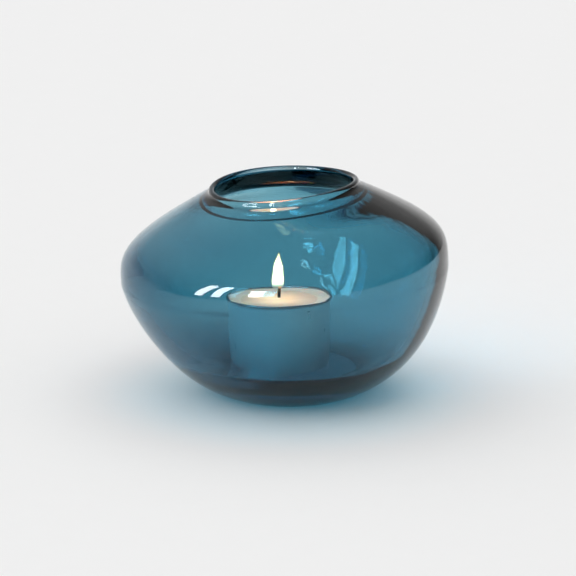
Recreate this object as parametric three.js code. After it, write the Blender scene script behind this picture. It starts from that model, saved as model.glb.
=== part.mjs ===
// A blown-glass tealight holder: one squat, leaning glass vessel with a rolled lip, and the
// tall tealight that stands loose on its floor and lifts out through its mouth.
// Units are millimetres and +Z is up. The origin is the centre of the flat foot, and the holder
// leans towards +X.
import * as THREE from "three";

// ---- Driving dimensions ----

// The vessel's outer section, before it leans
const FOOT_RADIUS = 25;
const FOOT_EDGE = 1; // how far the foot's edge is rounded
const BELLY_RADIUS = 59.2;
const BELLY_HEIGHT = 44.2;
const LIP_RADIUS = 25.9; // to the middle of the rolled lip
const LIP_THICKNESS = 2.2;
const LIP_TOP = 76.6;
const COLLAR_WIDTH = 1.6; // how far the shoulder stands out past the lip
const COLLAR_DROP = 1.7; // from the middle of the lip down to the shoulder
const BOWL_SLOPE = 21.5; // degrees above level where the bowl leaves the foot
const SHOULDER_SLOPE = 28; // degrees below level where the shoulder leaves the collar

// How far each curve of the section holds its direction as it leaves an end
const BOWL_PULL = 30;
const BELLY_PULL_DOWN = 3;
const BELLY_PULL_UP = 10.8;
const SHOULDER_PULL = 35;
const INNER_SHOULDER_PULL = 14.5;
const INNER_BELLY_PULL_UP = 13.3;
const INNER_BELLY_PULL_DOWN = 3;
const INNER_BOWL_PULL = 13;

// The vessel's wall
const FLOOR_THICKNESS = 9;
const FLOOR_RADIUS = 26;
const HEEL_RADIUS = 36.3; // where the bowl's inner face starts to turn into the floor
const HEEL_HEIGHT = 13.4;
const HEEL_SLOPE = 32.6;
const BELLY_WALL = 5;
const SHOULDER_WALL = 4.9;
const THROAT_DEPTH = 2; // from the collar down to where the throat flares
const THROAT_FLARE = 2.6; // how far the throat flares before the shoulder's inner face
const THROAT_PULL = 1.4;

// How the vessel leans as it rises from its level floor
const LEAN_SLOPE = 0.074; // rise per millimetre across the mouth
const LEAN_HEADING = 18; // degrees from +X towards +Y
const LEAN_FULL_HEIGHT = 58;
const LEAN_DRIFT = -2.1; // along X, at the mouth
const LIP_TWIST = -0.45; // how far the lip leaves its plane, twice round

// The tealight's cup
const CUP_TOP_RADIUS = 18.9;
const CUP_BASE_RADIUS = 18.3;
const CUP_HEIGHT = 26;
const CUP_SHEET = 0.3;
const CUP_CORNER = 1.2;
const CUP_RIM_BEAD = 0.45; // radius of the rolled rim
const BOSS_RADIUS = 7;
const BOSS_HEIGHT = 0.6;
const BOSS_RAMP = 1; // how far the boss's edge slopes
const TEALIGHT_X = -5;

// Its wax
const WAX_BELOW_RIM = 0.9;
const WAX_DISH = 0.5; // how far the wax dips in the middle
const WAX_EDGE_CURVE = 1.2;
const WAX_EDGE_WIDTH = 5;
const WICK_WELL = 1; // width of the ring of wax drawn up round the wick
const WICK_WELL_RISE = 0.3;

// Its wick and the tab that holds it
const WICK_RADIUS = 0.75;
const WICK_SHOWING = 5.4;
const WICK_BEND = 0.3;
const WICK_STEPS = 20;
const TAB_RADIUS = 6;
const TAB_SHEET = 0.3;
const TAB_FILLET = 0.3;
const TAB_COLLAR_HEIGHT = 4;

// Clearances
const REST_GAP = 0.1; // under the cup
const FILL_GAP = 0.15; // between the wax and what it surrounds

// How finely round stretches are cut
const VESSEL_SIDES = 72;
const CUP_SIDES = 56;
const TAB_SIDES = 24;
const WICK_SIDES = 10;

const { degToRad, smoothstep } = THREE.MathUtils;

// ---- Shared shapes ----

// A section drawn as (radius, height), turned once about the Z axis.
function turned(path, sides) {
  return new THREE.LatheGeometry(pointsAlong(path), sides).rotateX(Math.PI / 2);
}

// A path's points: one step along a line, and more along a curve the longer it is.
function pointsAlong(path) {
  const points = [path.curves[0].getPoint(0)];
  for (const curve of path.curves) {
    const steps = curve instanceof THREE.LineCurve ? 1 : Math.ceil(2 + Math.sqrt(curve.getLength()));
    points.push(...curve.getPoints(steps).slice(1));
  }
  return points;
}

// The point that lies a length away from (x, y), in a direction in degrees.
function away([x, y], length, degrees) {
  const angle = degToRad(degrees);
  return [x + length * Math.cos(angle), y + length * Math.sin(angle)];
}

function named(name, geometry, material) {
  const mesh = new THREE.Mesh(geometry, material);
  mesh.name = name;
  return mesh;
}

// ---- The glass vessel ----

// The closed section: foot, bowl, shoulder and lip outside, then the throat and cavity inside.
function vesselSection() {
  const bead = LIP_THICKNESS / 2;
  const lipMiddle = LIP_TOP - bead;
  const lipOuter = LIP_RADIUS + bead;
  const lipInner = LIP_RADIUS - bead;
  const innerBelly = [BELLY_RADIUS - BELLY_WALL, BELLY_HEIGHT];
  const heel = [HEEL_RADIUS, HEEL_HEIGHT];
  const heelRun = (HEEL_HEIGHT - FLOOR_THICKNESS) / Math.tan(degToRad(HEEL_SLOPE));
  const footEdge = [FOOT_RADIUS, 0];
  const collar = [lipOuter + COLLAR_WIDTH, lipMiddle - COLLAR_DROP];
  const wallHeight = SHOULDER_WALL / Math.cos(degToRad(SHOULDER_SLOPE));
  const throat = [lipInner + THROAT_FLARE, collar[1] - wallHeight];

  const section = new THREE.Path();
  section.moveTo(0, 0);
  section.lineTo(FOOT_RADIUS - FOOT_EDGE, 0);
  section.quadraticCurveTo(...footEdge, ...away(footEdge, FOOT_EDGE, BOWL_SLOPE));
  section.bezierCurveTo(
    ...away(footEdge, BOWL_PULL, BOWL_SLOPE),
    BELLY_RADIUS, BELLY_HEIGHT - BELLY_PULL_DOWN,
    BELLY_RADIUS, BELLY_HEIGHT,
  );
  section.bezierCurveTo(
    BELLY_RADIUS, BELLY_HEIGHT + BELLY_PULL_UP,
    ...away(collar, SHOULDER_PULL, -SHOULDER_SLOPE),
    ...collar,
  );
  section.quadraticCurveTo(lipOuter, collar[1] + COLLAR_DROP / 2, lipOuter, lipMiddle);
  section.absarc(LIP_RADIUS, lipMiddle, bead, 0, Math.PI, false);
  section.lineTo(lipInner, collar[1] - THROAT_DEPTH);
  section.quadraticCurveTo(lipInner, throat[1] + THROAT_PULL, ...throat);
  section.bezierCurveTo(
    ...away(throat, INNER_SHOULDER_PULL, -SHOULDER_SLOPE),
    innerBelly[0], innerBelly[1] + INNER_BELLY_PULL_UP,
    ...innerBelly,
  );
  section.bezierCurveTo(
    innerBelly[0], innerBelly[1] - INNER_BELLY_PULL_DOWN,
    ...away(heel, INNER_BOWL_PULL, HEEL_SLOPE),
    ...heel,
  );
  section.quadraticCurveTo(
    HEEL_RADIUS - heelRun, FLOOR_THICKNESS,
    FLOOR_RADIUS, FLOOR_THICKNESS,
  );
  section.lineTo(0, FLOOR_THICKNESS);
  return section;
}

// Leans a turned vessel: each level above the floor tilts and drifts, and the lip twists a little.
function lean(geometry) {
  const heading = degToRad(LEAN_HEADING);
  const places = geometry.getAttribute("position");
  const at = new THREE.Vector3();
  for (let i = 0; i < places.count; i += 1) {
    at.fromBufferAttribute(places, i);
    const share = smoothstep(at.z, FLOOR_THICKNESS, LEAN_FULL_HEIGHT);
    const twist = LIP_TWIST * smoothstep(at.z, BELLY_HEIGHT, LIP_TOP);
    const across = at.x * Math.cos(heading) + at.y * Math.sin(heading);
    const round = Math.atan2(at.y, at.x);
    const rise = share * LEAN_SLOPE * across + twist * Math.sin(2 * round);
    places.setXYZ(i, at.x + share * LEAN_DRIFT, at.y, at.z + rise);
  }
  return geometry;
}

function glassHolder() {
  const glass = new THREE.MeshStandardMaterial({
    color: 0x2f7186,
    roughness: 0.03,
    metalness: 0,
    transparent: true,
    opacity: 0.55,
  });
  return named("glass_holder", lean(turned(vesselSection(), VESSEL_SIDES)), glass);
}

// ---- The tealight, with its own origin at the middle of the cup's base ----

const waxLevel = CUP_HEIGHT - WAX_BELOW_RIM;
const waxMiddle = waxLevel - WAX_DISH;
const bossTop = BOSS_HEIGHT + CUP_SHEET;
const tabBase = bossTop + FILL_GAP;
const tabTop = tabBase + TAB_SHEET;
const tabCollarTop = tabTop + TAB_COLLAR_HEIGHT;
const tabCollarInner = WICK_RADIUS + FILL_GAP;
const tabCollarOuter = tabCollarInner + TAB_SHEET;

// The drawn aluminium cup: a boss pressed up in its base, a slight taper, and a rolled rim.
function tealightCup() {
  const rimMiddle = CUP_HEIGHT - CUP_RIM_BEAD;
  const rimCentre = CUP_TOP_RADIUS + CUP_RIM_BEAD - CUP_SHEET;
  const innerRadius = CUP_BASE_RADIUS - CUP_SHEET;
  const rampStart = BOSS_RADIUS - BOSS_RAMP / 2;
  const rampEnd = BOSS_RADIUS + BOSS_RAMP / 2;
  const section = new THREE.Path();
  section.moveTo(0, BOSS_HEIGHT);
  section.lineTo(rampStart, BOSS_HEIGHT);
  section.lineTo(rampEnd, 0);
  section.lineTo(CUP_BASE_RADIUS - CUP_CORNER, 0);
  section.quadraticCurveTo(CUP_BASE_RADIUS, 0, CUP_BASE_RADIUS, CUP_CORNER);
  section.lineTo(CUP_TOP_RADIUS, rimMiddle - CUP_RIM_BEAD);
  section.absarc(rimCentre, rimMiddle, CUP_RIM_BEAD, -Math.PI / 3, Math.PI, false);
  section.lineTo(innerRadius, CUP_CORNER);
  section.quadraticCurveTo(innerRadius, CUP_SHEET, CUP_BASE_RADIUS - CUP_CORNER, CUP_SHEET);
  section.lineTo(rampEnd + CUP_SHEET, CUP_SHEET);
  section.lineTo(rampStart + CUP_SHEET, bossTop);
  section.lineTo(0, bossTop);
  const aluminium = new THREE.MeshStandardMaterial({
    color: 0xc9ccce,
    roughness: 0.38,
    metalness: 1,
  });
  return named("tealight_cup", turned(section, CUP_SIDES), aluminium);
}

// The wax, cast round the wick and its tab, with its top dished by burning.
function waxFill() {
  const base = CUP_SHEET + FILL_GAP;
  const baseRadius = CUP_BASE_RADIUS - base;
  const topRadius = CUP_TOP_RADIUS - base;
  const socketRadius = tabCollarOuter + FILL_GAP;
  const socketTop = tabCollarTop + FILL_GAP;
  const section = new THREE.Path();
  section.moveTo(BOSS_RADIUS + BOSS_RAMP, base);
  section.lineTo(baseRadius - CUP_CORNER, base);
  section.quadraticCurveTo(baseRadius, base, baseRadius, base + CUP_CORNER);
  section.lineTo(topRadius, waxLevel);
  section.quadraticCurveTo(topRadius - WAX_EDGE_CURVE, waxMiddle, topRadius - WAX_EDGE_WIDTH, waxMiddle);
  section.lineTo(tabCollarInner + WICK_WELL, waxMiddle);
  section.lineTo(tabCollarInner, waxMiddle + WICK_WELL_RISE);
  section.lineTo(tabCollarInner, socketTop);
  section.lineTo(socketRadius, socketTop);
  section.lineTo(socketRadius, tabTop + FILL_GAP);
  section.lineTo(TAB_RADIUS + FILL_GAP, tabTop + FILL_GAP);
  section.lineTo(TAB_RADIUS + FILL_GAP, tabBase);
  section.lineTo(BOSS_RADIUS, tabBase);
  section.closePath();
  const wax = new THREE.MeshStandardMaterial({ color: 0xf3e6cf, roughness: 0.35, metalness: 0 });
  return named("wax", turned(section, CUP_SIDES), wax);
}

// The tab that keeps the wick upright: a pressed disc with a crimped collar.
function wickTab() {
  const section = new THREE.Path();
  section.moveTo(tabCollarInner, tabBase);
  section.lineTo(TAB_RADIUS, tabBase);
  section.lineTo(TAB_RADIUS, tabTop);
  section.lineTo(tabCollarOuter + TAB_FILLET, tabTop);
  section.lineTo(tabCollarOuter, tabTop + TAB_FILLET);
  section.lineTo(tabCollarOuter, tabCollarTop);
  section.lineTo(tabCollarInner, tabCollarTop);
  section.closePath();
  const tinplate = new THREE.MeshStandardMaterial({
    color: 0xb9babb,
    roughness: 0.3,
    metalness: 1,
  });
  return named("wick_tab", turned(section, TAB_SIDES), tinplate);
}

// The wick: straight inside the wax, then bending over a little where it burns.
function wick() {
  const top = waxMiddle + WICK_SHOWING;
  const route = new THREE.CatmullRomCurve3([
    new THREE.Vector3(0, 0, tabBase),
    new THREE.Vector3(0, 0, waxLevel / 2),
    new THREE.Vector3(0, 0, waxLevel),
    new THREE.Vector3(WICK_BEND / 3, 0, waxMiddle + 0.6 * WICK_SHOWING),
    new THREE.Vector3(WICK_BEND, 0, top),
  ]);
  const braid = new THREE.Shape().absarc(0, 0, WICK_RADIUS, 0, 2 * Math.PI, false);
  const geometry = new THREE.ExtrudeGeometry(braid, {
    extrudePath: route,
    steps: WICK_STEPS,
    curveSegments: WICK_SIDES,
  });
  const cotton = new THREE.MeshStandardMaterial({ color: 0x3a332c, roughness: 0.95, metalness: 0 });
  return named("wick", geometry, cotton);
}

function tealight() {
  const group = new THREE.Group();
  group.add(tealightCup(), waxFill(), wickTab(), wick());
  group.position.set(TEALIGHT_X, 0, FLOOR_THICKNESS + REST_GAP);
  return group;
}

export default new THREE.Group().add(glassHolder(), tealight());
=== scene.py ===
"""A petrol-blue blown-glass tealight holder with a lit tall tealight standing in it.

The vessel and the tealight's round pieces are sections turned by one Geometry Nodes tree, which
also leans the vessel. The wick is strands of twisted cotton and the flame is nested shells.
Lengths are in metres, and MM turns a maker's millimetres into them.
"""
import math

import bpy
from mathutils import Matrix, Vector


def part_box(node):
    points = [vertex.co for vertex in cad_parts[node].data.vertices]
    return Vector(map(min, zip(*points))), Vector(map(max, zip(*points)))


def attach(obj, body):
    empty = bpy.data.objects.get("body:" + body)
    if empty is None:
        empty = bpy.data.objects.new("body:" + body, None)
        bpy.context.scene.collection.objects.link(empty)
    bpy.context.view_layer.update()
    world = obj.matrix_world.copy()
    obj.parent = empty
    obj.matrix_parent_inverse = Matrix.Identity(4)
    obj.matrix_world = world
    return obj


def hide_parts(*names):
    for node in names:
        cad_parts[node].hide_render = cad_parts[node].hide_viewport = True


MM = 0.001

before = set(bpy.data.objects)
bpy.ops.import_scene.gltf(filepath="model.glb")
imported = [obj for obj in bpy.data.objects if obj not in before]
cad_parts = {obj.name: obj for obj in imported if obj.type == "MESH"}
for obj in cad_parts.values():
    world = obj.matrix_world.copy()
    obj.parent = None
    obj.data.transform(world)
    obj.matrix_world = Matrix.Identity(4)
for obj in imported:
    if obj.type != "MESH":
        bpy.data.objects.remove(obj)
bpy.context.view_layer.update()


# ---- Node trees ----

class Value:
    """An output of a node. Signs between values, or values and numbers, add Math nodes."""

    def __init__(self, wires, socket):
        self.wires = wires
        self.socket = socket

    def math(self, operation, *others):
        return self.wires.value("ShaderNodeMath", {"operation": operation}, [self, *others])

    def __add__(self, other):
        return self.math("ADD", other)

    def __sub__(self, other):
        return self.math("SUBTRACT", other)

    def __rsub__(self, other):
        return self.wires.value("ShaderNodeMath", {"operation": "SUBTRACT"}, [other, self])

    def __mul__(self, other):
        return self.math("MULTIPLY", other)

    def __truediv__(self, other):
        return self.math("DIVIDE", other)

    __radd__ = __add__
    __rmul__ = __mul__


class Wires:
    """A node tree being wired. node() adds any node: first its settings, then its sockets."""

    def __init__(self, tree):
        self.tree = tree

    def node(self, kind, settings=None, sockets=None):
        made = self.tree.nodes.new(kind)
        for name, setting in (settings or {}).items():
            if name == "stops":
                self.set_stops(made.color_ramp, setting)
            else:
                setattr(made, name, setting)
        pairs = enumerate(sockets) if isinstance(sockets, list) else (sockets or {}).items()
        for key, value in pairs:
            if isinstance(value, Value):
                self.tree.links.new(value.socket, made.inputs[key])
            else:
                made.inputs[key].default_value = value
        return made

    def value(self, kind, settings=None, sockets=None, output=0):
        return Value(self, self.node(kind, settings, sockets).outputs[output])

    @staticmethod
    def set_stops(ramp, stops):
        while len(ramp.elements) < len(stops):
            ramp.elements.new(0.5)
        for element, (place, colour) in zip(ramp.elements, stops):
            element.position = place
            element.color = (*colour, 1)

    def step(self, value, low, high, smooth=True):
        """From 0 where value is at low to 1 where it is at high."""
        kind = "SMOOTHSTEP" if smooth else "LINEAR"
        return self.value("ShaderNodeMapRange", {"interpolation_type": kind}, {
            "Value": value, "From Min": low, "From Max": high})

    def split(self, vector):
        parts = self.node("ShaderNodeSeparateXYZ", sockets=[vector])
        return [Value(self, parts.outputs[axis]) for axis in "XYZ"]

    def join(self, x, y, z):
        return self.value("ShaderNodeCombineXYZ", sockets=[x, y, z])

    def noise(self, vector, scale, detail):
        return self.value("ShaderNodeTexNoise", None, {
            "Vector": vector, "Scale": scale, "Detail": detail}, "Fac")

    def mix(self, factor, first, second):
        """One colour into another."""
        made = self.node("ShaderNodeMix", {"data_type": "RGBA"})
        for place, value in ((0, factor), (6, first), (7, second)):
            if isinstance(value, Value):
                self.tree.links.new(value.socket, made.inputs[place])
            else:
                made.inputs[place].default_value = value if place == 0 else (*value, 1)
        return Value(self, made.outputs[2])

    def ramp(self, factor, stops):
        return self.value("ShaderNodeValToRGB", {"stops": stops}, [factor])

    def bump(self, height, distance):
        return self.value("ShaderNodeBump", None, {"Distance": distance, "Height": height})


# ---- Turned pieces ----

def curve(steps, *handles):
    """Points along a Bezier curve with any number of handles, without the first one."""
    points = []
    for step in range(1, steps + 1):
        share = step / steps
        level = list(handles)
        while len(level) > 1:
            level = [tuple(a + share * (b - a) for a, b in zip(p, q))
                     for p, q in zip(level, level[1:])]
        points.append(level[0])
    return points


def arc(steps, centre, radius, start, end):
    """Points along an arc from one angle to another, in degrees, without the first one."""
    points = []
    for step in range(1, steps + 1):
        angle = math.radians(start + (end - start) * step / steps)
        points.append((centre[0] + radius * math.cos(angle), centre[1] + radius * math.sin(angle)))
    return points


def away(point, length, degrees):
    """The point that lies a length away in a direction in degrees."""
    angle = math.radians(degrees)
    return (point[0] + length * math.cos(angle), point[1] + length * math.sin(angle))


def ramp_between(value, low, high):
    """From 0 where value is at low to 1 where it is at high, with soft ends."""
    share = min(1.0, max(0.0, (value - low) / (high - low)))
    return share * share * (3 - 2 * share)


# The vessel's section and lean. The outside is the CAD model's, and the wall is guessed
FOOT_RADIUS = 25 * MM
FOOT_EDGE = 1 * MM
BELLY_RADIUS = 59.2 * MM
BELLY_HEIGHT = 44.2 * MM
LIP_RADIUS = 25.9 * MM
LIP_THICKNESS = 2.2 * MM
LIP_TOP = 76.6 * MM
COLLAR_WIDTH = 1.6 * MM
COLLAR_DROP = 1.7 * MM
BOWL_SLOPE = 21.5
SHOULDER_SLOPE = 28
BOWL_PULL = 30 * MM
BELLY_PULL_DOWN = 3 * MM
BELLY_PULL_UP = 10.8 * MM
SHOULDER_PULL = 35 * MM
FLOOR_THICKNESS = 9 * MM
FLOOR_RADIUS = 26 * MM
HEEL_HEIGHT = 16 * MM
HEEL_SLOPE = 40
BOWL_WALL = 5.4 * MM
SHOULDER_WALL = 4.9 * MM
THROAT_DEPTH = 2 * MM
THROAT_FLARE = 2.6 * MM
THROAT_PULL = 1.4 * MM
LEAN_SLOPE = 0.074
LEAN_HEADING = 18
LEAN_FULL_HEIGHT = 58 * MM
LEAN_DRIFT = -2.1 * MM
LIP_TWIST = -0.45 * MM
INSIDE_OVAL = 1.2 * MM
SHOULDER_MORE_OVAL = 0.58
BULGE = 1.6 * MM
BULGE_HEADING = 200
BULGE_HEIGHT = 50 * MM
BULGE_REACH = 10 * MM
WANDER = 0.12 * MM
CROWDED_BY = 0.02 * MM
WALL_STEP = 0.8 * MM
WALL_PASSES = 10
# The cavity is pushed only away from the floor and the lip's top, and more on the shoulder
FLOOR_FADE = 12 * MM
THROAT_ROUND = 7 * MM
THROAT_OVAL = 15 * MM
SHOULDER_OVAL_FROM = 10 * MM
SHOULDER_OVAL_FULL = 24 * MM

VESSEL_SIDES = 256
TEALIGHT_SIDES = 128
FLAME_SIDES = 48


def inner_wall(outer, first_wall, last_wall):
    """An outer wall's points moved in by its thickness, but for those that a bend crowds out."""
    inner = []
    for i in range(1, len(outer) - 1):
        wall = first_wall + (last_wall - first_wall) * i / len(outer)
        along = (Vector(outer[i + 1]) - Vector(outer[i - 1])).normalized()
        moved = Vector(outer[i]) + wall * Vector((-along.y, along.x))
        if all((moved - Vector(point)).length > wall - CROWDED_BY for point in outer):
            inner.append(tuple(moved))
    return inner


def eased(points, spacing, passes):
    """The line through the points at an even spacing, with its kinks rounded off."""
    even = [Vector(points[0])]
    for target in points[1:]:
        while (Vector(target) - even[-1]).length > spacing:
            even.append(even[-1] + spacing * (Vector(target) - even[-1]).normalized())
    for _ in range(passes):
        middle = [(even[i - 1] + 2 * even[i] + even[i + 1]) / 4 for i in range(1, len(even) - 1)]
        even = [even[0]] + middle + [even[-1]]
    return [tuple(point) for point in even]


def vessel_section():
    """The glass's section: foot, bowl, shoulder and lip outside, then throat and cavity inside."""
    bead = LIP_THICKNESS / 2
    lip_middle = LIP_TOP - bead
    lip_outer = LIP_RADIUS + bead
    lip_inner = LIP_RADIUS - bead
    foot_edge = (FOOT_RADIUS, 0)
    collar = (lip_outer + COLLAR_WIDTH, lip_middle - COLLAR_DROP)
    wall_height = SHOULDER_WALL / math.cos(math.radians(SHOULDER_SLOPE))
    throat = (lip_inner + THROAT_FLARE, collar[1] - wall_height)
    foot_start = (FOOT_RADIUS - FOOT_EDGE, 0)
    bowl_start = away(foot_edge, FOOT_EDGE, BOWL_SLOPE)
    belly = (BELLY_RADIUS, BELLY_HEIGHT)
    throat_top = (lip_inner, collar[1] - THROAT_DEPTH)

    bowl = curve(56, bowl_start, away(foot_edge, BOWL_PULL, BOWL_SLOPE),
                 away(belly, BELLY_PULL_DOWN, -90), belly)
    shoulder = curve(52, belly, away(belly, BELLY_PULL_UP, 90),
                     away(collar, SHOULDER_PULL, -SHOULDER_SLOPE), collar)
    outside = [(0, 0)]
    outside += curve(8, (0, 0), foot_start)
    outside += curve(6, foot_start, foot_edge, bowl_start)
    outside += bowl + shoulder
    outside += curve(8, collar, (lip_outer, collar[1] + COLLAR_DROP / 2), (lip_outer, lip_middle))
    outside += arc(18, (LIP_RADIUS, lip_middle), bead, 0, 180)

    wall = inner_wall(bowl + shoulder, BOWL_WALL, SHOULDER_WALL)
    wall = [point for point in reversed(wall) if point[0] > throat[0] and point[1] > HEEL_HEIGHT]
    wall = eased(wall, WALL_STEP, WALL_PASSES)
    heel = wall[-1]
    heel_run = (heel[1] - FLOOR_THICKNESS) / math.tan(math.radians(HEEL_SLOPE))
    floor_edge = (FLOOR_RADIUS, FLOOR_THICKNESS)
    inside = curve(4, (lip_inner, lip_middle), throat_top)
    inside += curve(12, throat_top, (lip_inner, throat[1] + THROAT_PULL), throat)
    inside += wall
    inside += curve(20, heel, (heel[0] - heel_run, FLOOR_THICKNESS), floor_edge)
    inside += curve(8, floor_edge, (0, FLOOR_THICKNESS))
    return outside, inside


def socket_in(tree, name, kind, default=None):
    """A named input of a Geometry Nodes tree."""
    made = tree.interface.new_socket(name, in_out="INPUT", socket_type=kind)
    if default is not None:
        made.default_value = default
    return made


def turning_tree():
    """Turns a section, the modifier's own line of points (radius, 0, height), about the Z axis.

    A grid has one row for each of the section's points and one column for each side. Points that
    the section marks as loose are pushed along the wall's normal: a little at random, by an oval,
    and by one bulge. Each level then tilts and drifts, as glass does on a hand-held iron.
    """
    tree = bpy.data.node_groups.new("turned_section", "GeometryNodeTree")
    tree.interface.new_socket("Geometry", in_out="OUTPUT", socket_type="NodeSocketGeometry")
    socket_in(tree, "Section", "NodeSocketGeometry")
    socket_in(tree, "Sides", "NodeSocketInt", 96)
    socket_in(tree, "Centre", "NodeSocketVector")
    socket_in(tree, "Lean Slope", "NodeSocketFloat", 0.0)
    socket_in(tree, "Lean Heading", "NodeSocketFloat", 0.0)
    socket_in(tree, "Lean From", "NodeSocketFloat", 0.0)
    socket_in(tree, "Lean Full", "NodeSocketFloat", 1.0)
    socket_in(tree, "Drift", "NodeSocketFloat", 0.0)
    socket_in(tree, "Twist", "NodeSocketFloat", 0.0)
    socket_in(tree, "Twist From", "NodeSocketFloat", 0.0)
    socket_in(tree, "Twist Full", "NodeSocketFloat", 1.0)
    socket_in(tree, "Wander", "NodeSocketFloat", 0.0)
    socket_in(tree, "Oval", "NodeSocketFloat", 0.0)
    socket_in(tree, "Bulge", "NodeSocketFloat", 0.0)
    socket_in(tree, "Bulge Heading", "NodeSocketFloat", 0.0)
    socket_in(tree, "Bulge Height", "NodeSocketFloat", 0.0)
    socket_in(tree, "Bulge Reach", "NodeSocketFloat", 1.0)
    socket_in(tree, "Material", "NodeSocketMaterial")

    wires = Wires(tree)
    given = wires.node("NodeGroupInput")
    asked = {socket.name: Value(wires, socket) for socket in given.outputs if socket.name}
    section = asked["Section"]
    rows = wires.value("GeometryNodeAttributeDomainSize", {"component": "MESH"}, [section])
    sides = asked["Sides"]
    grid = wires.value("GeometryNodeMeshGrid", None, {
        "Vertices X": sides + 1, "Vertices Y": rows})
    index = wires.value("GeometryNodeInputIndex")
    row = index.math("MODULO", rows)
    angle = (index / rows).math("FLOOR") / sides * (2 * math.pi)

    def along_section(kind, data_type, settings=None, sockets=None):
        """What the section holds at this row."""
        field = wires.value(kind, settings, sockets)
        return wires.value("GeometryNodeSampleIndex", {"data_type": data_type, "domain": "POINT"}, {
            "Geometry": section, "Value": field, "Index": row})

    place = along_section("GeometryNodeInputPosition", "FLOAT_VECTOR")
    give = along_section("GeometryNodeInputNamedAttribute", "FLOAT_VECTOR",
                         {"data_type": "FLOAT_VECTOR"}, {"Name": "give"})
    radius, _, height = wires.split(place)
    give_out, _, give_up = wires.split(give)
    east = angle.math("COSINE")
    north = angle.math("SINE")
    swirl = wires.join(east * 1.3, north * 1.3, height * 28)
    wander = (wires.noise(swirl, 1.6, 1.0) - 0.5) * asked["Wander"]
    bulge_turn = (angle - asked["Bulge Heading"]).math("COSINE").math("MAXIMUM", 0)
    bulge_off = (height - asked["Bulge Height"]).math("ABSOLUTE") / asked["Bulge Reach"]
    bulge = asked["Bulge"] * bulge_turn.math("POWER", 6) * wires.step(bulge_off, 1, 0)
    push = wander + asked["Oval"] * (angle * 2).math("SINE") + bulge
    x = (radius + push * give_out) * east
    y = (radius + push * give_out) * north
    level = height + push * give_up
    share = wires.step(height, asked["Lean From"], asked["Lean Full"])
    twist = asked["Twist"] * wires.step(height, asked["Twist From"], asked["Twist Full"])
    heading = asked["Lean Heading"]
    across = x * heading.math("COSINE") + y * heading.math("SINE")
    rise = share * asked["Lean Slope"] * across + twist * (angle * 2).math("SINE")
    leaned = wires.join(x + share * asked["Drift"], y, level + rise)
    placed = wires.value("ShaderNodeVectorMath", {"operation": "ADD"}, [leaned, asked["Centre"]])

    shaped = wires.value("GeometryNodeSetPosition", None, {"Geometry": grid, "Position": placed})
    closed = wires.value("GeometryNodeMergeByDistance", None, {
        "Geometry": shaped, "Distance": 0.001 * MM})
    smooth = wires.value("GeometryNodeSetShadeSmooth", None, {"Geometry": closed})
    whole = wires.value("GeometryNodeRealizeInstances", None, {"Geometry": smooth})
    finished = wires.value("GeometryNodeSetMaterial", None, {
        "Geometry": whole, "Material": asked["Material"]})
    wires.node("NodeGroupOutput", None, [finished])
    return tree


TURNING = turning_tree()


def grow(name, seed_mesh, tree, inputs, body):
    """Runs a Geometry Nodes tree on a mesh and keeps the result as a plain mesh on a CAD body."""
    source = bpy.data.objects.new(name + "_source", seed_mesh)
    bpy.context.scene.collection.objects.link(source)
    modifier = source.modifiers.new("grow", "NODES")
    modifier.node_group = tree
    for item in tree.interface.items_tree:
        if item.item_type == "SOCKET" and item.in_out == "INPUT" and item.name in inputs:
            modifier[item.identifier] = inputs[item.name]
    bpy.context.view_layer.update()
    seen = source.evaluated_get(bpy.context.evaluated_depsgraph_get())
    mesh = bpy.data.meshes.new_from_object(seen)
    mesh.name = name
    source.modifiers.remove(modifier)
    bpy.data.objects.remove(source)
    piece = bpy.data.objects.new(name, mesh)
    bpy.context.scene.collection.objects.link(piece)
    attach(piece, body)
    return piece


def section_mesh(name, points, loose):
    """A line of points (radius, 0, height), and the way and how far each may be pushed."""
    mesh = bpy.data.meshes.new(name + "_section")
    links = [(i, i + 1) for i in range(len(points) - 1)]
    mesh.from_pydata([(radius, 0, height) for radius, height in points], links, [])
    layer = mesh.attributes.new("give", "FLOAT_VECTOR", "POINT")
    for i, share in enumerate(loose):
        before = Vector(points[max(i - 1, 0)])
        along = (Vector(points[min(i + 1, len(points) - 1)]) - before).normalized()
        layer.data[i].vector = (along.y * share, 0, -along.x * share)
    return mesh


def turned(name, points, sides, material, body, centre=(0, 0, 0), loose=None, **more):
    inputs = {"Sides": sides, "Centre": centre, "Material": material, **more}
    section = section_mesh(name, points, loose or [0.0] * len(points))
    return grow(name, section, TURNING, inputs, body)


# ---- Materials ----

def material(name):
    """An empty node material, and the wires of its tree."""
    made = bpy.data.materials.new(name)
    made.use_nodes = True
    made.node_tree.nodes.clear()
    return made, Wires(made.node_tree)


def object_place(wires):
    return wires.value("ShaderNodeTexCoord", output="Object")


GLASS_COLOUR = (0.09, 0.573, 0.68)
GLASS_DENSITY = 300
GLASS_INDEX = 1.5
SHADOW_TINT = (0.88, 1.0, 1.0)
GLASS_RELIEF = 0.35 * MM
FLUTE_SHARE = 0.14
RING_SHARE = 0.06
NECK_FROM = 46 * MM
NECK_FULL = 70 * MM


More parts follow.
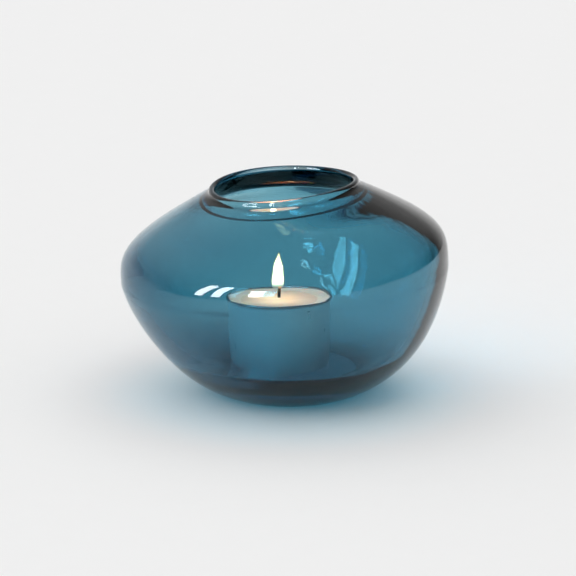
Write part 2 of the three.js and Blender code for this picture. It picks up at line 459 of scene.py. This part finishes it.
def teal_glass():
    made, wires = material("teal_glass")
    place = object_place(wires)
    x, y, height = wires.split(place)
    round_it = y.math("ARCTAN2", x)
    # Flutes that the tool leaves in the neck, and fainter rings from turning
    flutes = wires.noise(wires.join(round_it * 9, 0, height * 60), 1.0, 2.0)
    rings = wires.noise(wires.join(round_it * 0.8, 0, height * 420), 1.0, 1.0)
    neck = wires.step(height, NECK_FROM, NECK_FULL)
    relief = flutes * neck * FLUTE_SHARE + rings * RING_SHARE
    normal = wires.bump(relief, GLASS_RELIEF)
    shader = wires.value("ShaderNodeBsdfPrincipled", None, {
        "Base Color": (1, 1, 1, 1), "Roughness": 0.0, "IOR": GLASS_INDEX,
        "Transmission Weight": 1.0, "Normal": normal})
    tint = wires.value("ShaderNodeVolumeAbsorption", None, {
        "Color": (*GLASS_COLOUR, 1), "Density": GLASS_DENSITY})
    clear = wires.value("ShaderNodeBsdfTransparent", None, {"Color": (*SHADOW_TINT, 1)})
    shadow = wires.value("ShaderNodeLightPath", output="Is Shadow Ray")
    lit_through = wires.value("ShaderNodeMixShader", None, [shadow, shader, clear])
    wires.node("ShaderNodeOutputMaterial", None, {"Surface": lit_through, "Volume": tint})
    return made


def cup_aluminium():
    made, wires = material("cup_aluminium")
    place = object_place(wires)
    x, y, height = wires.split(place)
    round_it = (y - TEALIGHT_PLACE.y).math("ARCTAN2", x - TEALIGHT_PLACE.x)
    draw_lines = wires.noise(wires.join(round_it * 14, 0, height * 40), 1.0, 1.0)
    clouds = wires.noise(place, 160, 3.0)
    roughness = 0.22 + 0.10 * clouds + 0.06 * draw_lines
    bare = wires.mix(clouds, (0.80, 0.81, 0.82), (0.92, 0.92, 0.92))
    # Painted shade: the curled rim is coloured as a thin dark line where it lies in shade
    painted_rim_shade = wires.step(height, CUP_HIGH.z - 1.0 * MM, CUP_HIGH.z - 0.5 * MM)
    colour = wires.mix(painted_rim_shade, bare, (0.26, 0.28, 0.30))
    normal = wires.bump(draw_lines + 0.6 * clouds, 0.01 * MM)
    shader = wires.value("ShaderNodeBsdfPrincipled", None, {
        "Base Color": colour, "Metallic": 0.65, "Roughness": roughness, "Normal": normal})
    wires.node("ShaderNodeOutputMaterial", None, {"Surface": shader})
    return made


def paraffin_wax():
    made, wires = material("paraffin_wax")
    place = object_place(wires)
    x, y, _ = wires.split(place)
    from_wick = wires.value("ShaderNodeVectorMath", {"operation": "LENGTH"}, [
        wires.join(x - TEALIGHT_PLACE.x, y - TEALIGHT_PLACE.y, 0)], "Value")
    melted = 1 - wires.step(from_wick, POOL_RADIUS - 2 * MM, POOL_RADIUS)
    grain = wires.noise(place, 700, 3.0)
    solid = wires.mix(grain, (0.86, 0.80, 0.72), (0.92, 0.87, 0.80))
    colour = wires.mix(melted, solid, (0.86, 0.68, 0.56))
    # Painted light: the wax gives out its own warm glow, strongest round the wick, in place of the
    # flame's light shining into it
    glow = wires.step(from_wick, 20 * MM, 0, smooth=False)
    painted_wax_glow = wires.mix(glow, (0.48, 0.10, 0.055), (1.45, 0.38, 0.19))
    normal = wires.bump(grain * (1 - melted), 0.05 * MM)
    shader = wires.value("ShaderNodeBsdfPrincipled", None, {
        "Base Color": colour, "Roughness": 0.42 - 0.36 * melted, "Normal": normal,
        "Subsurface Weight": 0.5, "Subsurface Radius": (1.0, 0.6, 0.35),
        "Subsurface Scale": 4 * MM, "Emission Color": painted_wax_glow, "Emission Strength": 1.0})
    wires.node("ShaderNodeOutputMaterial", None, {"Surface": shader})
    return made


def cotton_wick():
    made, wires = material("cotton_wick")
    place = object_place(wires)
    _, _, height = wires.split(place)
    charred = wires.step(height, WICK_FOOT - 0.5 * MM, WICK_FOOT + 1.4 * MM)
    fibre = wires.noise(place, 4000, 2.0)
    fresh = wires.mix(fibre, (0.42, 0.33, 0.22), (0.62, 0.52, 0.38))
    burnt = wires.mix(fibre, (0.006, 0.005, 0.005), (0.035, 0.028, 0.024))
    colour = wires.mix(charred, fresh, burnt)
    ember = wires.step(height, WICK_TOP - 1.0 * MM, WICK_TOP)
    glow = wires.mix(ember, (0, 0, 0), (3.0, 0.5, 0.05))
    shader = wires.value("ShaderNodeBsdfPrincipled", None, {
        "Base Color": colour, "Roughness": 0.9, "Normal": wires.bump(fibre, 0.05 * MM),
        "Emission Color": glow, "Emission Strength": 1.0})
    wires.node("ShaderNodeOutputMaterial", None, {"Surface": shader})
    return made


def tab_tinplate():
    made, wires = material("tab_tinplate")
    clouds = wires.noise(object_place(wires), 500, 3.0)
    colour = wires.mix(clouds, (0.55, 0.55, 0.54), (0.72, 0.72, 0.70))
    shader = wires.value("ShaderNodeBsdfPrincipled", None, {
        "Base Color": colour, "Metallic": 1.0, "Roughness": 0.25 + 0.2 * clouds})
    wires.node("ShaderNodeOutputMaterial", None, {"Surface": shader})
    return made


def flame_glow(name, low_alpha, high_alpha, colours):
    """Glowing gas: clearer at its foot, and coloured by its height."""
    made, wires = material(name)
    _, _, height = wires.split(object_place(wires))
    share = wires.step(height, FLAME_FOOT, FLAME_FOOT + FLAME_HEIGHT, smooth=False)
    colour = wires.ramp(share, colours)
    alpha = wires.step(share, FLAME_CLEAR_BELOW, FLAME_FULL_ABOVE) * (high_alpha - low_alpha) + low_alpha
    shader = wires.value("ShaderNodeBsdfPrincipled", None, {
        "Base Color": (0, 0, 0, 1), "Roughness": 1.0, "Specular IOR Level": 0.0,
        "Alpha": alpha, "Emission Color": colour, "Emission Strength": 1.0})
    wires.node("ShaderNodeOutputMaterial", None, {"Surface": shader})
    return made


# ---- The tealight ----

CUP_LOW, CUP_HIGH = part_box("tealight_cup")
WICK_LOW, WICK_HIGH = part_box("wick")
TEALIGHT_PLACE = Vector(((CUP_LOW.x + CUP_HIGH.x) / 2, (CUP_LOW.y + CUP_HIGH.y) / 2, CUP_LOW.z))
WICK_RADIUS = 0.75 * MM
WICK_SHOWING = 5.4 * MM
WICK_TOP = WICK_HIGH.z
WICK_FOOT = WICK_TOP - WICK_SHOWING
POOL_RADIUS = 15 * MM

CUP_TOP_RADIUS = 18.9 * MM
CUP_BASE_RADIUS = 18.3 * MM
CUP_HEIGHT = 26 * MM
CUP_SHEET = 0.3 * MM
CUP_CORNER = 1.2 * MM
CUP_RIM_BEAD = 0.45 * MM
BOSS_RADIUS = 7 * MM
BOSS_HEIGHT = 0.6 * MM
BOSS_RAMP = 1 * MM
FILL_GAP = 0.15 * MM
WAX_BELOW_RIM = 0.9 * MM
WAX_DISH = 0.5 * MM

FLAME_FOOT = WICK_TOP - 1.0 * MM
FLAME_HEIGHT = 11.4 * MM
FLAME_RADIUS = 2.1 * MM
FLAME_CLEAR_BELOW = 0.04
FLAME_FULL_ABOVE = 0.34
FLAME_LAMP_RADIUS = 2 * MM
FLAME_WATTS = 0.022
FLAME_LIGHT = (1.0, 0.38, 0.20)
FLAME_ASIDE = 0.5 * MM
WICK_BEND = 0.3 * MM


def cup_section():
    """The drawn cup: a boss pressed up in its base, rounded corners and a rolled rim."""
    rim_middle = CUP_HEIGHT - CUP_RIM_BEAD
    rim_centre = (CUP_TOP_RADIUS + CUP_RIM_BEAD - CUP_SHEET, rim_middle)
    inner = CUP_BASE_RADIUS - CUP_SHEET
    low_corner = (CUP_BASE_RADIUS - CUP_CORNER, 0)
    side_foot = (CUP_BASE_RADIUS, CUP_CORNER)
    boss_edge = (BOSS_RADIUS - BOSS_RAMP / 2, BOSS_HEIGHT)
    boss_foot = (BOSS_RADIUS + BOSS_RAMP / 2, 0)
    side_top = (CUP_TOP_RADIUS, rim_middle - CUP_RIM_BEAD)
    inner_foot = (inner, CUP_CORNER)
    inner_corner = (CUP_BASE_RADIUS - CUP_CORNER, CUP_SHEET)
    points = [(0, BOSS_HEIGHT)]
    points += curve(3, points[-1], boss_edge)
    points += curve(4, boss_edge, (BOSS_RADIUS, BOSS_HEIGHT), (BOSS_RADIUS, 0), boss_foot)
    points += curve(3, boss_foot, low_corner)
    points += curve(6, low_corner, (CUP_BASE_RADIUS, 0), side_foot)
    points += curve(16, side_foot, side_top)
    points += arc(12, rim_centre, CUP_RIM_BEAD, -60, 180)
    points += curve(16, points[-1], inner_foot)
    points += curve(6, inner_foot, (inner, CUP_SHEET), inner_corner)
    points += curve(3, inner_corner, (0, BOSS_HEIGHT + CUP_SHEET))
    return points


def wax_section():
    """The candle: a ring of solid wax drawn up the cup's wall, and a pool round the wick."""
    base = CUP_SHEET + FILL_GAP
    level = CUP_HEIGHT - WAX_BELOW_RIM
    pool = level - WAX_DISH
    edge = CUP_TOP_RADIUS - base
    corner = (CUP_BASE_RADIUS - base - CUP_CORNER, base)
    side = (CUP_BASE_RADIUS - base, base + CUP_CORNER)
    bore = WICK_RADIUS + FILL_GAP
    points = [(bore, BOSS_HEIGHT + CUP_SHEET + FILL_GAP)]
    points += curve(2, points[-1], (BOSS_RADIUS, BOSS_HEIGHT + CUP_SHEET + FILL_GAP))
    points += curve(2, points[-1], (BOSS_RADIUS + BOSS_RAMP, base))
    points += curve(2, points[-1], corner)
    points += curve(5, corner, (CUP_BASE_RADIUS - base, base), side)
    points += curve(12, side, (edge, level - 0.4 * MM))
    points += curve(4, points[-1], (edge, level), (edge - 0.2 * MM, level))
    points += curve(10, points[-1], (edge - 1.2 * MM, pool + 0.1 * MM), (edge - 2.6 * MM, pool))
    points += curve(10, points[-1], (bore + 1.6 * MM, pool))
    points += curve(8, points[-1], (bore + 0.4 * MM, pool), (bore, pool + 0.45 * MM))
    points += curve(6, points[-1], points[0])
    return points


def flame_section(grown):
    """A flame's outline: blunt below, widest a fifth of the way up, and drawn to a point."""
    radius = FLAME_RADIUS + grown
    height = FLAME_HEIGHT + grown
    widest = (radius, 0.22 * height)
    points = [(0, -grown)]
    points += curve(16, points[0], (0.8 * radius, -grown), (radius, 0.07 * height), widest)
    points += curve(28, widest, (radius, 0.62 * height), (0.3 * radius, 0.93 * height), (0, height))
    return points


def strand_tree():
    """Twists strands into a wick: helices round a route that bends over a little at the top."""
    tree = bpy.data.node_groups.new("twisted_strands", "GeometryNodeTree")
    tree.interface.new_socket("Geometry", in_out="OUTPUT", socket_type="NodeSocketGeometry")
    socket_in(tree, "Strands", "NodeSocketInt", 6)
    socket_in(tree, "Turns", "NodeSocketFloat", 6.0)
    socket_in(tree, "Cord Radius", "NodeSocketFloat", 0.5 * MM)
    socket_in(tree, "Strand Radius", "NodeSocketFloat", 0.25 * MM)
    socket_in(tree, "Foot", "NodeSocketVector")
    socket_in(tree, "Length", "NodeSocketFloat", 20 * MM)
    socket_in(tree, "Bend From", "NodeSocketFloat", 0.0)
    socket_in(tree, "Bend", "NodeSocketFloat", 0.0)
    socket_in(tree, "Material", "NodeSocketMaterial")
    wires = Wires(tree)
    given = wires.node("NodeGroupInput")
    asked = {socket.name: Value(wires, socket) for socket in given.outputs if socket.name}
    helix = wires.value("GeometryNodeCurveSpiral", None, {
        "Resolution": 14, "Rotations": asked["Turns"], "Start Radius": asked["Cord Radius"],
        "End Radius": asked["Cord Radius"], "Height": asked["Length"]})
    section = wires.value("GeometryNodeCurvePrimitiveCircle", None, {
        "Resolution": 7, "Radius": asked["Strand Radius"]})
    strand = wires.value("GeometryNodeCurveToMesh", None, {
        "Curve": helix, "Profile Curve": section, "Fill Caps": True})
    posts = wires.value("GeometryNodeMeshLine", {"mode": "OFFSET"}, {
        "Count": asked["Strands"], "Offset": (0, 0, 0)})
    turn = wires.value("GeometryNodeInputIndex") / asked["Strands"] * (2 * math.pi)
    strands = wires.value("GeometryNodeInstanceOnPoints", None, {
        "Points": posts, "Instance": strand, "Rotation": wires.join(0, 0, turn)})
    whole = wires.value("GeometryNodeRealizeInstances", None, {"Geometry": strands})
    place = wires.value("GeometryNodeInputPosition")
    x, y, height = wires.split(place)
    lean = wires.step(height, asked["Bend From"], asked["Length"], smooth=False)
    bent = wires.join(x + lean * lean * asked["Bend"], y, height)
    placed = wires.value("ShaderNodeVectorMath", {"operation": "ADD"}, [bent, asked["Foot"]])
    moved = wires.value("GeometryNodeSetPosition", None, {"Geometry": whole, "Position": placed})
    smooth = wires.value("GeometryNodeSetShadeSmooth", None, {"Geometry": moved})
    finished = wires.value("GeometryNodeSetMaterial", None, {
        "Geometry": smooth, "Material": asked["Material"]})
    wires.node("NodeGroupOutput", None, [finished])
    return tree


def make_tealight():
    cup = turned("cup", cup_section(), TEALIGHT_SIDES, cup_aluminium(), "tealight", TEALIGHT_PLACE)
    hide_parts("tealight_cup")

    candle = turned("candle", wax_section(), TEALIGHT_SIDES, paraffin_wax(), "tealight", TEALIGHT_PLACE)
    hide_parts("wax")

    empty = bpy.data.meshes.new("wick_start")
    foot = Vector((TEALIGHT_PLACE.x, TEALIGHT_PLACE.y, WICK_LOW.z))
    length = WICK_TOP - WICK_LOW.z
    wick = grow("wick_braid", empty, strand_tree(), {
        "Strands": 5, "Turns": 7.0, "Cord Radius": 0.36 * MM, "Strand Radius": 0.27 * MM,
        "Foot": foot, "Length": length, "Bend From": length - WICK_SHOWING,
        "Bend": WICK_BEND, "Material": cotton_wick()}, "tealight")
    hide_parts("wick")

    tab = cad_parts["wick_tab"]
    tab.data.materials.clear()
    tab.data.materials.append(tab_tinplate())


def make_flame():
    """A white core in two warm mantles, and a lamp at its heart."""
    core_colours = [(0.0, (0.8, 0.7, 0.9)), (0.12, (3, 2, 1.3)), (0.32, (14, 9, 5)),
                    (0.7, (16, 10, 5.5)), (1.0, (12, 6, 2.4))]
    mantle_colours = [(0.0, (0.1, 0.2, 0.8)), (0.2, (1.6, 0.8, 0.3)), (1.0, (3.2, 1.4, 0.5))]
    layers = [
        ("flame_core", 0.0, 0.10, 1.0, core_colours),
        ("flame_mantle", 0.22 * MM, 0.02, 0.30, mantle_colours),
        ("flame_edge", 0.5 * MM, 0.0, 0.10, mantle_colours),
    ]
    foot = Vector((TEALIGHT_PLACE.x - FLAME_ASIDE, TEALIGHT_PLACE.y, FLAME_FOOT))
    for name, grown, low_alpha, high_alpha, colours in layers:
        glow = flame_glow(name, low_alpha, high_alpha, colours)
        layer = turned(name, flame_section(grown), FLAME_SIDES, glow, "tealight", foot)
        layer.visible_shadow = False
    lamp = bpy.data.lights.new("flame_lamp", "POINT")
    lamp.energy = FLAME_WATTS
    lamp.color = FLAME_LIGHT
    lamp.shadow_soft_size = FLAME_LAMP_RADIUS
    holder = bpy.data.objects.new("flame_lamp", lamp)
    holder.location = foot + Vector((0, 0, 0.4 * FLAME_HEIGHT))
    bpy.context.scene.collection.objects.link(holder)
    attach(holder, "tealight")


# ---- The glass vessel ----

def make_vessel():
    outside, inside = vessel_section()
    loose = [0.0] * len(outside)
    for _, height in inside:
        off_floor = ramp_between(height, FLOOR_THICKNESS, FLOOR_THICKNESS + FLOOR_FADE)
        under_throat = ramp_between(height, LIP_TOP - THROAT_ROUND, LIP_TOP - THROAT_OVAL)
        above_belly = ramp_between(height, BELLY_HEIGHT + SHOULDER_OVAL_FROM,
                                   BELLY_HEIGHT + SHOULDER_OVAL_FULL)
        loose.append(off_floor * under_throat * (1 + SHOULDER_MORE_OVAL * above_belly))
    vessel = turned(
        "vessel", outside + inside, VESSEL_SIDES, teal_glass(), "holder", loose=loose,
        **{"Lean Slope": LEAN_SLOPE, "Lean Heading": math.radians(LEAN_HEADING),
           "Lean From": FLOOR_THICKNESS, "Lean Full": LEAN_FULL_HEIGHT, "Drift": LEAN_DRIFT,
           "Twist": LIP_TWIST, "Twist From": BELLY_HEIGHT, "Twist Full": LIP_TOP,
           "Wander": WANDER, "Oval": INSIDE_OVAL, "Bulge": BULGE,
           "Bulge Heading": math.radians(BULGE_HEADING), "Bulge Height": BULGE_HEIGHT,
           "Bulge Reach": BULGE_REACH})
    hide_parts("glass_holder")


# ---- Camera, floor and light ----

CAMERA_LENS = 189.9
CAMERA_ELEVATION = 14.5
CAMERA_DISTANCE = 1.1
CAMERA_AIM = Vector((-0.5 * MM, 0, 37.5 * MM))
FLOOR_REACH = 6.0
FLOOR_SIDES = 128
GLOW_COLOUR = (0.0, 0.060, 0.080)
GLOW_FORWARD = 8 * MM
GLOW_FULL_WITHIN = 44 * MM
GLOW_NONE_BEYOND = 78 * MM
WINDOW_POWER = 22
WINDOW_COLOUR = (0.93, 0.97, 1.0)


def make_camera():
    data = bpy.data.cameras.new("camera")
    data.lens = CAMERA_LENS
    data.sensor_width = 36
    camera = bpy.data.objects.new("camera", data)
    elevation = math.radians(CAMERA_ELEVATION)
    back = Vector((0, -math.cos(elevation), math.sin(elevation)))
    camera.location = CAMERA_AIM + CAMERA_DISTANCE * back
    camera.rotation_euler = (math.radians(90) - elevation, 0, 0)
    bpy.context.scene.collection.objects.link(camera)
    bpy.context.scene.camera = camera


def make_floor():
    angles = [2 * math.pi * i / FLOOR_SIDES for i in range(FLOOR_SIDES)]
    ring = [(FLOOR_REACH * math.cos(angle), FLOOR_REACH * math.sin(angle), 0) for angle in angles]
    mesh = bpy.data.meshes.new("floor")
    mesh.from_pydata(ring, [], [list(range(FLOOR_SIDES))])
    made, wires = material("pale_paper")
    place = object_place(wires)
    grain = wires.noise(place, 90, 3.0)
    shade = wires.mix(grain, (0.895, 0.895, 0.895), (0.905, 0.905, 0.905))
    # A faint glow, in place of the light that coloured glass lets out round its foot
    x, y, _ = wires.split(place)
    from_foot = wires.value("ShaderNodeVectorMath", {"operation": "LENGTH"}, [
        wires.join(x, y + GLOW_FORWARD, 0)], "Value")
    near = wires.step(from_foot, GLOW_NONE_BEYOND, GLOW_FULL_WITHIN)
    gathered = wires.mix(near, (0, 0, 0), GLOW_COLOUR)
    shader = wires.value("ShaderNodeBsdfPrincipled", None, {
        "Base Color": shade, "Roughness": 1.0, "Specular IOR Level": 0.0,
        "Emission Color": gathered, "Emission Strength": 1.0})
    wires.node("ShaderNodeOutputMaterial", None, {"Surface": shader})
    mesh.materials.append(made)
    floor = bpy.data.objects.new("floor", mesh)
    bpy.context.scene.collection.objects.link(floor)


def window(name, place, size):
    """A bright window far off, which is there to be mirrored and lights no matte surface."""
    data = bpy.data.lights.new(name, "AREA")
    data.shape = "RECTANGLE"
    data.size, data.size_y = size
    data.energy = WINDOW_POWER
    data.color = WINDOW_COLOUR
    lamp = bpy.data.objects.new(name, data)
    lamp.location = place
    lamp.rotation_euler = (Vector((0, 0, 0.04)) - Vector(place)).to_track_quat("-Z", "Y").to_euler()
    lamp.visible_diffuse = False
    bpy.context.scene.collection.objects.link(lamp)


def daylight(name, towards, spread, strength):
    """Broad light from far away in one direction, which lights evenly and mirrors nowhere."""
    data = bpy.data.lights.new(name, "SUN")
    data.angle = math.radians(spread)
    data.energy = strength
    lamp = bpy.data.objects.new(name, data)
    lamp.rotation_euler = Vector(towards).to_track_quat("Z", "Y").to_euler()
    lamp.visible_glossy = False
    lamp.visible_transmission = False
    bpy.context.scene.collection.objects.link(lamp)


def make_lights():
    world = bpy.data.worlds.new("room")
    world.use_nodes = True
    world.node_tree.nodes.clear()
    wires = Wires(world.node_tree)
    east, north, up = wires.split(wires.value("ShaderNodeTexCoord", output="Generated"))
    sky = wires.ramp(up, [(0.0, (0.87, 0.87, 0.87)), (0.10, (0.87, 0.87, 0.87)),
                          (0.30, (0.48, 0.48, 0.48)), (1.0, (0.60, 0.60, 0.60))])
    room = wires.ramp(up, [(0.0, (0.04, 0.04, 0.04)), (0.22, (0.05, 0.05, 0.05)),
                           (0.40, (0.22, 0.215, 0.21)), (1.0, (0.20, 0.195, 0.19))])
    behind = wires.step(north - 0.5 * east, 0.2, 0.9)
    room = wires.mix(behind, room, sky)
    mirrored = wires.value("ShaderNodeLightPath", output="Is Glossy Ray")
    glow = wires.value("ShaderNodeBackground", None, {
        "Color": wires.mix(mirrored, sky, room), "Strength": 1.0})
    wires.node("ShaderNodeOutputWorld", None, {"Surface": glow})
    bpy.context.scene.world = world
    daylight("daylight", (-0.55, 0.25, 1.0), 125, 1.5)
    window("window_left", (-1.73, -0.93, 0.95), (0.26, 1.30))
    window("window_middle", (-1.48, -1.29, 0.95), (0.26, 1.30))
    window("window_right", (-0.72, -1.82, 0.80), (0.34, 0.70))


make_camera()
make_vessel()
make_tealight()
make_flame()
make_floor()
make_lights()
bpy.context.scene.view_settings.view_transform = "Standard"
